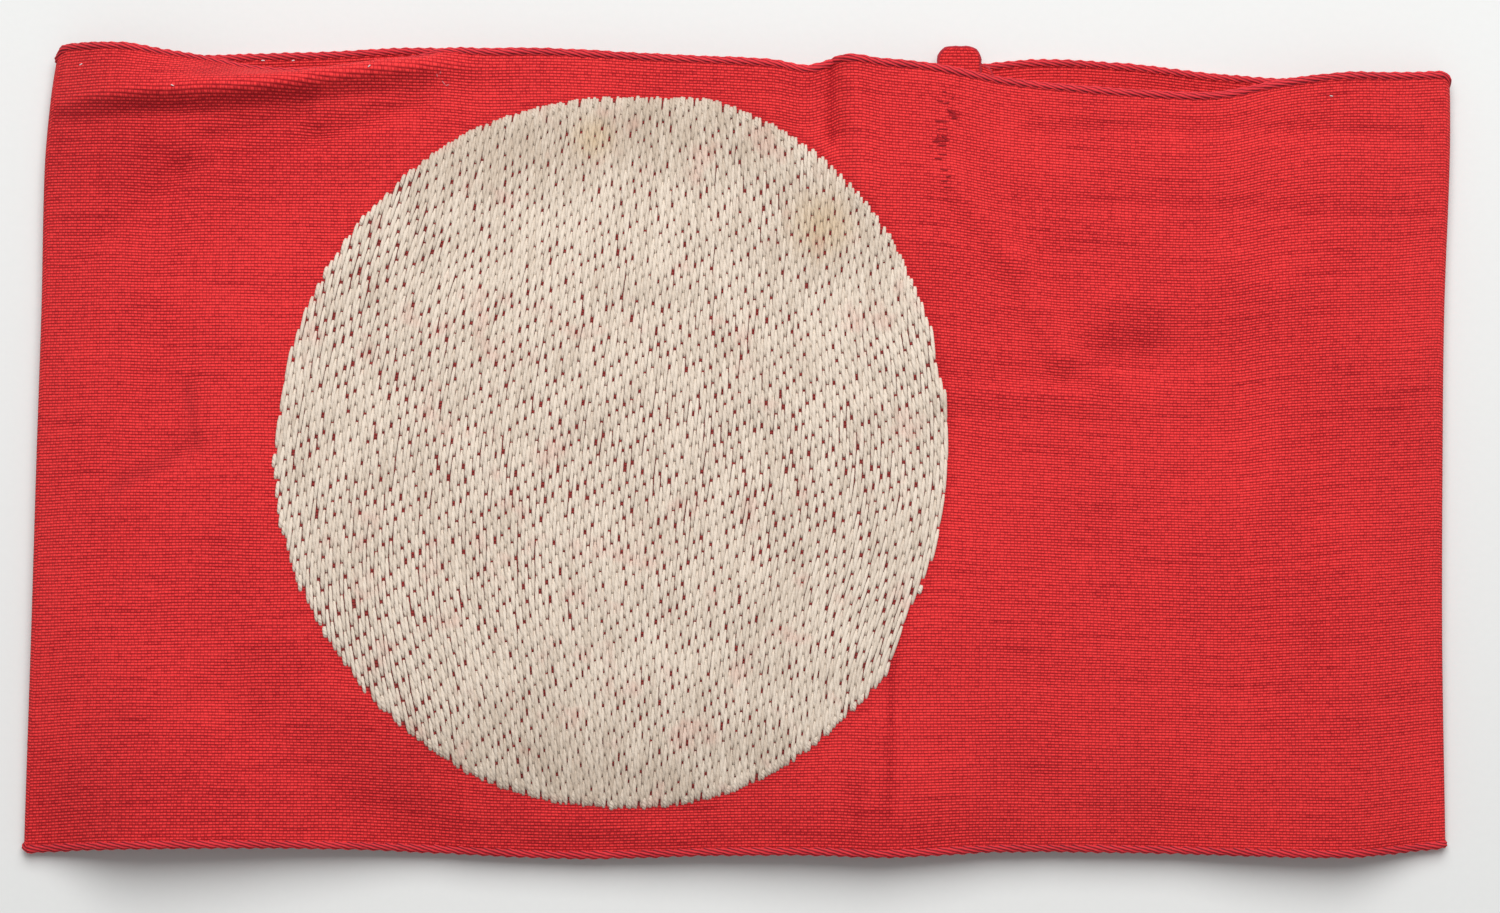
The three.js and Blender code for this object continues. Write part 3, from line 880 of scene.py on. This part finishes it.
def cream_thread_finish():
    """Soft cream cotton thread: its ply, fibres, soiling and a few faint stains, with painted shade in the
    ply's grooves and over the disc's lower part.
    """
    stitch = bpy.context.scene.armband_stitch
    finish = Finish("cream_cotton_thread")
    u, turn = finish.thread_map()
    tint = finish.attribute("tint")
    place = finish.place()
    ply = abs(((u * 5.2 + turn * 2) * math.pi).sine())
    fibre = finish.noise(place, 2300, 3, 0.6)
    cloud = finish.noise(place, 120, 2)
    # Soiling at the disc's top and at a stain, and painted shade over the disc's lower part; below, the ply's
    # grooves are darker as painted shade
    top = finish.streak(place, (-44, 43), (4, 47), 13)
    corner = finish.blot(place, (11, 33), 15)
    bottom = finish.streak(place, (-46, -46), (14, -50), 17)
    soil_and_lower_shade = (top * 0.42).at_least(corner * 0.32).at_least(bottom * 0.3)
    soiling_and_shade = 0.30 + tint * 0.34 + (cloud - 0.5) * 0.6 + (fibre - 0.5) * 0.6 - ply * 0.14 + 0.015 + soil_and_lower_shade
    base = finish.mix(finish.step(soiling_and_shade, 0.1, 1.1), stitch.colour, stitch.soil_and_shade_colour)
    yellow = finish.blot(place, (-21, 43.5), 4.5).at_least(finish.blot(place, (11, 31), 7))
    base = finish.mix(yellow * 0.38, base, (0.62, 0.42, 0.20))
    bleed = finish.step(finish.noise(place, 210, 2), 0.56, 0.75)
    base = finish.mix(bleed * 0.20, base, (0.62, 0.22, 0.18))
    normal = finish.bump(ply * 0.55 + fibre * 0.6, 0.00012, 0.8)
    return finish.shade(base, 0.75, normal, sheen=0.25)


def plain_thread_finish(name, colour):
    """Thread of one dye, with its fibres."""
    finish = Finish(name)
    fibre = finish.noise(finish.place(), 2600, 2)
    base = finish.mix(fibre, tuple(0.55 * part for part in colour), colour)
    return finish.shade(base, 0.85, finish.bump(fibre, 0.00006, 0.7), sheen=0.1)


def settle(piece, finish, slot, *nodes):
    """Gives a piece its finish and its place in the model."""
    piece.data.materials.append(finish)
    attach(piece, "root")
    if nodes:
        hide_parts(*nodes)


class ARMBAND_OT_cloth(bpy.types.Operator):
    """Make the looped red cloth"""

    bl_idname = "armband.cloth"
    bl_label = "Cloth"

    def execute(self, context):
        cloth = context.scene.armband_cloth
        # Shares of the rows and columns at which the crest, the end folds, the front and the back come
        crest_share = 0.9
        stops = (0, 0.67, 0.7, 0.97, 1)
        ends = (0, 2 * HALF_LENGTH, 2 * HALF_LENGTH + FOLD_LENGTH, LOOP_LENGTH - FOLD_LENGTH, LOOP_LENGTH)

        def rows(t):
            below = np.interp(t / crest_share, (0, 0.03, 0.9, 1), (0, 0.014, 0.955, 1))
            return np.where(t <= crest_share, below, 1 + (t - crest_share) / (1 - crest_share))

        def place(s, t):
            return loop_at(np.interp(s, stops, ends), rows(t), CLOTH_HEM)

        def lengths(s, t):
            length = np.interp(s, stops, ends)
            front = length < 2 * HALF_LENGTH + FOLD_LENGTH
            station = np.where(front, length - HALF_LENGTH, 3 * HALF_LENGTH + FOLD_LENGTH - length)
            share = width_share(np.clip(station, -HALF_LENGTH, HALF_LENGTH), rows(t), CLOTH_HEM)
            return np.stack([length, share * STRIP_WIDTH], axis=1) * MM

        piece = bent_sheet("red_cloth_band", cloth.columns, cloth.rows, place, lengths)
        x, y, z = (points_of(piece) / MM).T

        # What the finish needs: places on the back count as far from the disc, and the painted shadow on the
        # cloth beside the disc is darker towards the upper right
        rim = np.where(z > 2.2, past_rim(x, y), DISC["half_width"])
        piece.data.attributes.new("past_rim", "FLOAT", "POINT").data.foreach_set("value", rim)
        towards = np.arctan2(y - DISC["y"], x - DISC["x"]) - math.radians(50)
        rim_shadow = (0.5 + 0.5 * np.cos(towards)) ** 1.5
        piece.data.attributes.new("rim_shadow", "FLOAT", "POINT").data.foreach_set("value", rim_shadow)

        wall = piece.modifiers.new("Thickness", "SOLIDIFY")
        wall.thickness = cloth.thickness
        wall.offset = 1
        settle(piece, red_cloth_finish(), "red_cloth", "cloth_band")
        return {"FINISHED"}


class ARMBAND_OT_edges(bpy.types.Operator):
    """Make the two overcast edges"""

    bl_idname = "armband.edges"
    bl_label = "Overcast edges"

    def execute(self, context):
        edge = context.scene.armband_edge
        radius, twist = edge.radius / MM, edge.twist / MM
        turns = round(LOOP_LENGTH / twist)
        stand_off, flatness, nearby = 0.3, 0.85, 0.3
        finish = red_thread_finish()

        def strand_phase(s, t):
            return (t - turns * s) * edge.strands

        def lengths(s, t):
            inner_side = np.maximum(-np.cos(math.tau * t), 0)
            return np.stack([inner_side, strand_phase(s, t)], axis=1)

        for name, row, inner, outer_side in (("top", 2.0, 1.98, 1), ("bottom", 0.0, 0.02, -1)):

            def place(s, t, row=row, inner=inner, outer_side=outer_side):
                length = s * LOOP_LENGTH
                centre = loop_at(length, np.full_like(s, row), CORD_HEM)
                ahead = loop_at(length + nearby, np.full_like(s, row), CORD_HEM)
                behind = loop_at(length - nearby, np.full_like(s, row), CORD_HEM)
                along = unit(ahead - behind)
                outward = unit(centre - loop_at(length, np.full_like(s, inner), CORD_HEM))
                outward = unit(outward - along * np.sum(outward * along, axis=1, keepdims=True))
                upward = np.cross(along, outward)
                centre = centre + upward * outer_side * stand_off
                centre[:, 2] = np.maximum(centre[:, 2], flatness * radius)
                angle = math.tau * t
                groove = 1 - np.abs(np.sin(math.pi * strand_phase(s, t)))
                lobes = 1 - groove * (0.3 + 0.15 * np.maximum(-np.cos(angle), 0))
                wander = 1.5 * ripple(length, 0 * s, 5, 6)
                scallop = 0.13 * np.sin(math.tau * turns * edge.strands * s + wander)
                uneven = 0.1 * ripple(length, 0 * s, 2.1, 5)
                reach = (radius * lobes * (1 + scallop + uneven))[:, None]
                across = outward * np.cos(angle)[:, None]
                return centre + reach * (across + flatness * upward * np.sin(angle)[:, None])

            piece = bent_sheet("overcast_thread_" + name, 960, 36, place, lengths, tube=True)
            settle(piece, finish, "red_edge_thread", "overcast_edge_" + name)
        return {"FINISHED"}


def rounded(corners, radius):
    """A closed outline with rounded corners: x and y at shares of the way round it."""
    points = []
    for i, corner in enumerate(corners):
        here, before, after = (np.array(corners[(i + k) % len(corners)], float) for k in (0, -1, 1))
        start = here + unit((before - here)[None])[0] * radius
        end = here + unit((after - here)[None])[0] * radius
        centre = start + end - here
        for t in np.linspace(0, math.pi / 2, 9):
            points.append(centre + (start - centre) * math.cos(t) + (end - centre) * math.sin(t))
    points = np.array(points + points[:1])
    lengths = np.append(0, np.cumsum(np.linalg.norm(np.diff(points, axis=0), axis=1)))
    return lambda s: tuple(np.interp(np.mod(s, 1) * lengths[-1], lengths, points[:, i]) for i in (0, 1))


def unit(vectors):
    """Vectors of the same directions, each of length 1."""
    return vectors / np.linalg.norm(vectors, axis=1, keepdims=True)


def lean_at(x, y):
    """Lean of the stitches at places of the disc, in radians, blended from the nearest known ones."""
    away = (x[:, None] - LEANS["x"]) ** 2 + (y[:, None] - LEANS["y"]) ** 2 + 60
    share = away**-1.6
    return np.radians(share @ LEANS["lean"] / share.sum(axis=1))


def column_lines(columns):
    """Lines that columns of stitches follow up and down from the disc's middle: heights, and x at each."""
    step, count = 0.5, 110
    heights = DISC["y"] + np.arange(-count, count + 1) * step
    lines = np.zeros((len(columns), len(heights)))
    for side in (1, -1):
        x = columns.astype(float)
        for i in range(count + 1):
            lines[:, count + side * i] = x
            y = np.full_like(x, DISC["y"] + side * (i + 0.5) * step)
            x = x + side * step * np.tan(lean_at(x, y))
    return heights, lines


def line_x(lines, heights, line, y):
    """x on numbered lines at heights."""
    place = np.clip((y - heights[0]) / (heights[1] - heights[0]), 0, len(heights) - 1.001)
    below = place.astype(int)
    return lines[line, below] + (lines[line, below + 1] - lines[line, below]) * (place - below)


class ARMBAND_OT_embroidery(bpy.types.Operator):
    """Make the satin stitches of the disc"""

    bl_idname = "armband.embroidery"
    bl_label = "Satin stitches"

    def execute(self, context):
        stitch = context.scene.armband_stitch
        chance = np.random.default_rng(11)
        length, pitch = stitch.length / MM, stitch.pitch / MM
        lean_room, rows, overlap = 12, 12, 0.08
        reach = math.ceil((DISC["half_width"] + lean_room) / pitch)
        columns = np.arange(-reach, reach + 1)
        steps = np.arange(-rows, rows + 1)
        column, step = (grid.ravel() for grid in np.meshgrid(columns, steps, indexing="ij"))
        middle_y = DISC["y"] + (step + np.mod(column * stitch.stagger, 1)) * length
        middle_y += chance.normal(0, 0.18, column.size)
        half = length / 2 + overlap + chance.normal(0, 0.14, column.size)
        jitter = chance.normal(0, 0.045, (2, column.size))
        bottoms, tops = middle_y - half, middle_y + half
        heights, lines = column_lines(DISC["x"] + columns * pitch)
        where = np.searchsorted(columns, column)
        starts = np.stack([line_x(lines, heights, where, bottoms) + jitter[0], bottoms], axis=1)
        ends = np.stack([line_x(lines, heights, where, tops) + jitter[1], tops], axis=1)
        middle, run = (starts + ends) / 2, (ends - starts) / 2
        x, y = middle.T

        # Each stitch ends where it meets the rim, give or take a little
        spare = chance.uniform(-0.15, 0.2, (column.size, 1))
        shares = np.linspace(-1, 1, 41)
        inside = past_rim(x[:, None] + run[:, :1] * shares, y[:, None] + run[:, 1:] * shares) < spare
        low = shares[np.argmax(inside, axis=1)]
        high = shares[::-1][np.argmax(inside[:, ::-1], axis=1)]
        keep = inside.any(axis=1) & (high - low > 0.5)
        starts, ends = (middle + run * share[:, None] for share in (low, high))
        tints = chance.uniform(0, 1, column.size)
        widths = stitch.width / MM * chance.uniform(0.86, 1.12, column.size)
        finish = cream_thread_finish()
        for name, half_disc in (("left", x < DISC["x"]), ("right", x >= DISC["x"])):
            of = keep & half_disc
            ends_of, sizes = (starts[of], ends[of]), (widths[of], 0.42, 0.5)
            piece = laid_threads("satin_stitches_" + name, *ends_of, *sizes, front_face, tints[of])
            settle(piece, finish, "cream_thread", "embroidered_disc")
        return {"FINISHED"}


class ARMBAND_OT_seam(bpy.types.Operator):
    """Make the seam's flap inside the back"""

    bl_idname = "armband.seam"
    bl_label = "Seam flap"

    def execute(self, context):
        low, high = (np.array(corner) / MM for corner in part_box("seam_allowance"))
        middle, half = (low[0] + high[0]) / 2 + 0.15, (high[0] - low[0]) / 2 + 0.2
        corner, bend, leg = 1.7, 0.28, 0.44
        slip, drop, clearance = 1.8, 2.5, 0.3
        hem_lift, hem_reach = 0.4, 9
        tall, top = high[1] - low[1], high[1] - 0.5

        def upwards(t):
            """Share of the height at a share of the rows, which lie closer together near the top."""
            return 1 - (1 - t) ** 1.7

        def over_hems(y):
            """How far the flap lifts where it crosses the back's thick edges."""
            return hem_lift * np.clip(1 - np.minimum(high[1] - y, y - low[1]) / hem_reach, 0, 1)

        def place(s, t):
            y = low[1] + (top - low[1]) * upwards(t)
            past = np.maximum(y - (top - corner), 0)
            across = half - corner + np.sqrt(np.maximum(corner**2 - past**2, 0))
            turn = np.clip((s - leg) / (1 - 2 * leg), 0, 1) * math.pi
            share = np.minimum(s, 1 - s) / leg
            x = middle + across - np.minimum(share, 1) * (2 * across - bend) - bend * np.sin(turn)
            under = np.clip(1 - s / leg, 0, 1)
            z = low[2] + clearance + bend * (1 - np.cos(turn)) + over_hems(y)
            return np.stack([x + slip * under, y - drop * under * (y - low[1]) / tall, z], axis=1)

        def lengths(s, t):
            return np.stack([s * 4 * half, tall * upwards(t)], axis=1) * MM

        piece = bent_sheet("seam_flap", 22, 110, place, lengths)
        wall = piece.modifiers.new("Thickness", "SOLIDIFY")
        wall.thickness = 0.0005
        wall.offset = 0
        settle(piece, bpy.data.materials["woven_red_cotton"], "red_cloth", "seam_allowance")

        thread = plain_thread_finish("seam_thread", (0.48, 0.024, 0.04))
        radius, groove, strands, wraps, nearby = 0.3, 0.25, 3, 160, 0.002

        def turns(s, t):
            return np.stack([s * 2 * (tall + 2 * half) * MM, t], axis=1)

        layers = (
            ("upper", middle + half, top, low[2] + clearance + 2 * bend),
            ("lower", middle + half + slip, top - drop, low[2] + clearance),
        )
        for name, right, upper, level in layers:
            left = middle - half
            outline = rounded(((left, low[1]), (right, low[1]), (right, upper), (left, upper)), corner)

            def around(s, t, outline=outline, level=level):
                x, y = outline(s)
                before, after = outline(s - nearby), outline(s + nearby)
                run = unit(np.stack([after[0] - before[0], after[1] - before[1]], axis=1))
                reach = radius * (1 - groove * np.abs(np.sin(math.pi * (t * strands + s * wraps))))
                out = reach * np.cos(math.tau * t)
                z = level + over_hems(y) + reach * np.sin(math.tau * t)
                return np.stack([x + run[:, 1] * out, y - run[:, 0] * out, z], axis=1)

            edging = bent_sheet("seam_thread_" + name, 640, 8, around, turns, tube=True)
            settle(edging, thread, "red_edge_thread")
        return {"FINISHED"}


class ARMBAND_OT_mends(bpy.types.Operator):
    """Make the darning stitches and the lint"""

    bl_idname = "armband.mends"
    bl_label = "Mends and lint"

    def execute(self, context):
        dark = plain_thread_finish("dark_red_thread", (0.36, 0.006, 0.012))
        self.lay("darning_threads", MENDS, 0.26, 0.07, dark, "red_edge_thread")
        pale = plain_thread_finish("pale_lint", (0.85, 0.72, 0.70))
        self.lay("lint_fibres", LINT, 0.16, 0.12, pale, "cream_thread")
        pink = plain_thread_finish("pink_fluff", (0.66, 0.26, 0.27))
        self.lay("fluff_fibres", FLUFF, 0.13, 0.08, pink, "cream_thread")
        return {"FINISHED"}

    def lay(self, name, rows, width, height, finish, slot):
        """Lays short threads on the front, one to a row of a table."""
        run = np.stack([np.cos(np.radians(rows["lean"])), np.sin(np.radians(rows["lean"]))], axis=1)
        half = run * rows["length"][:, None] / 2
        middle = np.stack([rows["x"], rows["y"]], axis=1)
        widths = np.full(len(middle), width)
        piece = laid_threads(name, middle - half, middle + half, widths, height, height, front_face)
        settle(piece, finish, slot)


class ARMBAND_OT_stage(bpy.types.Operator):
    """Make the table, the light and the camera"""

    bl_idname = "armband.stage"
    bl_label = "Table, light and camera"

    def execute(self, context):
        scene, stage = context.scene, context.scene.armband_stage
        grid = bmesh.new()
        bmesh.ops.create_grid(grid, x_segments=1, y_segments=1, size=1.5)
        mesh = bpy.data.meshes.new("table")
        grid.to_mesh(mesh)
        grid.free()
        table_top = bpy.data.objects.new("table", mesh)
        scene.collection.objects.link(table_top)
        finish = Finish("table")
        grain = finish.noise(finish.place(), 900, 3)
        base = finish.mix(grain * 0.06, stage.floor, (0.4, 0.4, 0.4))
        mesh.materials.append(finish.shade(base, 0.6, finish.bump(grain, 0.00005, 0.3)))

        key = bpy.data.lights.new("key", "AREA")
        key.energy, key.size = stage.key_power, 0.6
        lamp = bpy.data.objects.new("key", key)
        lamp.location = (0.035, 0.38, 0.58)
        lamp.rotation_euler = (-lamp.location).to_track_quat("-Z", "Y").to_euler()
        scene.collection.objects.link(lamp)
        world = bpy.data.worlds.new("studio")
        world.use_nodes = True
        world.node_tree.nodes["Background"].inputs["Color"].default_value = (1, 1, 1, 1)
        world.node_tree.nodes["Background"].inputs["Strength"].default_value = stage.fill
        scene.world = world
        scene.view_settings.view_transform = "Standard"

        camera = bpy.data.objects.new("camera", bpy.data.cameras.new("camera"))
        camera.data.lens = stage.lens
        camera.data.sensor_width = 36
        aim, distance, tilt = Vector((1.05, -1.26, 5.0)) * MM, 0.52, math.radians(4)
        camera.location = aim + Vector((0, -math.sin(tilt), math.cos(tilt))) * distance
        camera.rotation_euler = (tilt, 0, 0)
        scene.collection.objects.link(camera)
        scene.camera = camera
        return {"FINISHED"}


class ARMBAND_PT_panel(bpy.types.Panel):
    """The armband's pieces and settings"""

    bl_label = "Armband"
    bl_space_type = "VIEW_3D"
    bl_region_type = "UI"
    bl_category = "Armband"

    def draw(self, context):
        for operator in OPERATORS:
            self.layout.operator(operator.bl_idname)
        for name in SETTINGS:
            box = self.layout.box()
            settings = getattr(context.scene, name)
            # The first two properties are Blender's own
            for key in settings.bl_rna.properties.keys()[2:]:
                box.prop(settings, key)


SETTINGS = {
    "armband_cloth": ClothSettings,
    "armband_edge": EdgeSettings,
    "armband_stitch": StitchSettings,
    "armband_stage": StageSettings,
}
OPERATORS = (
    ARMBAND_OT_cloth,
    ARMBAND_OT_edges,
    ARMBAND_OT_embroidery,
    ARMBAND_OT_seam,
    ARMBAND_OT_mends,
    ARMBAND_OT_stage,
)


def register():
    for kind in (*SETTINGS.values(), *OPERATORS, ARMBAND_PT_panel):
        bpy.utils.register_class(kind)
    for name, kind in SETTINGS.items():
        setattr(bpy.types.Scene, name, bpy.props.PointerProperty(type=kind))


def unregister():
    for name in SETTINGS:
        delattr(bpy.types.Scene, name)
    for kind in (ARMBAND_PT_panel, *OPERATORS, *SETTINGS.values()):
        bpy.utils.unregister_class(kind)


def main():
    register()
    bpy.ops.armband.cloth()
    bpy.ops.armband.edges()
    bpy.ops.armband.embroidery()
    bpy.ops.armband.seam()
    bpy.ops.armband.mends()
    bpy.ops.armband.stage()


if __name__ == "__main__":
    main()
